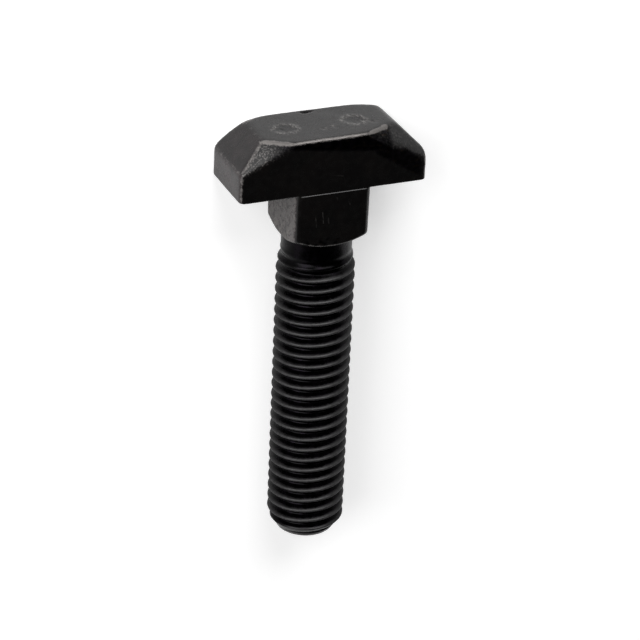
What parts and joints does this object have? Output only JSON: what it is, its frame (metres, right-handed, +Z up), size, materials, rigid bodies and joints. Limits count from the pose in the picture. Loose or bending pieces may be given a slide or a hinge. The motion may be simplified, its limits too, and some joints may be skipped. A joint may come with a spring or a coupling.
{
  "type": "t-slot bolt",
  "caption": "T-slot bolt with a long rectangular head, bevelled on top, over a square neck and a threaded shank, for clamping in a slotted table or profile.",
  "frame": {"origin": "on the surface that the bolt lies on, below the middle of its bounding box", "axes": "+X along the bolt from the head to the tip, Y along the length of the head, +Z up from the surface it lies on"},
  "size_m": [0.0564, 0.0242, 0.0099],
  "materials": {
    "black_steel": "black oxide on forged steel, satin, worn lighter along the edges and thread crests"
  },
  "bodies": {
    "root": {"bolt": "black_steel"}
  },
  "joints": []
}
